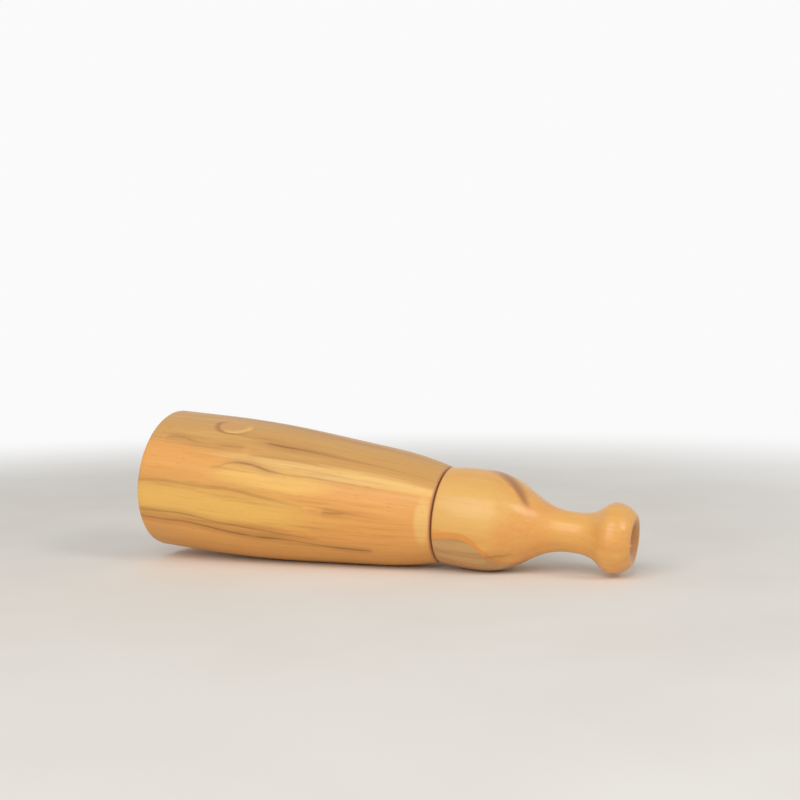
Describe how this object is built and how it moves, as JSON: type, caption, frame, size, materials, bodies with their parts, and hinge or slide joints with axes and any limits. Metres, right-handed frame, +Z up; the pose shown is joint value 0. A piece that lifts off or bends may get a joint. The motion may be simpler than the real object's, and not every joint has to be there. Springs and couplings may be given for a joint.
{
  "type": "bird call",
  "caption": "Turned wooden bird call: a barrel-shaped horn and a slim-necked mouthpiece that pull apart on a corked reed holder with a brass beating reed.",
  "frame": {"origin": "on the table under the middle of the call as it lies on its side", "axes": "+Z up, +X from the bell towards the mouthpiece along the table, the call lies on its barrel and its bulge, so its axis dips towards +X"},
  "size_m": [0.1381, 0.0394, 0.0421],
  "materials": {
    "horn_wood": "satin varnish",
    "mouthpiece_wood": "satin varnish",
    "boxwood": "bare, turned smooth",
    "cork": "bare cork",
    "trough_brass": "dull drawn brass",
    "tongue_brass": "bright rolled brass"
  },
  "bodies": {
    "mouthpiece": {"mouthpiece": "mouthpiece_wood"},
    "reed_holder": {"reed_holder": "boxwood", "horn_cork": "cork", "mouthpiece_cork": "cork", "reed_trough": "trough_brass", "tongue_root": "tongue_brass", "reed_wedge": "cork"},
    "horn": {"horn": "horn_wood"},
    "tongue": {"tongue_blade": "tongue_brass"}
  },
  "joints": [
    {"name": "horn_pull", "type": "slide", "parent": "mouthpiece", "child": "reed_holder", "axis": [-0.9955, 0, 0.0952], "range_m": [0, 0.03]},
    {"name": "horn_twist", "type": "hinge", "parent": "reed_holder", "child": "horn", "pos_m": [-0.06721, 0, 0.02258], "axis": [0.9955, 0, -0.0952], "continuous": true},
    {"name": "tongue_beat", "type": "hinge", "parent": "reed_holder", "child": "tongue", "pos_m": [0.02607, 0, 0.01365], "axis": [0, 1, 0], "range_deg": [0, 2.3], "stiffness_Nm_per_rad": 0.075}
  ]
}
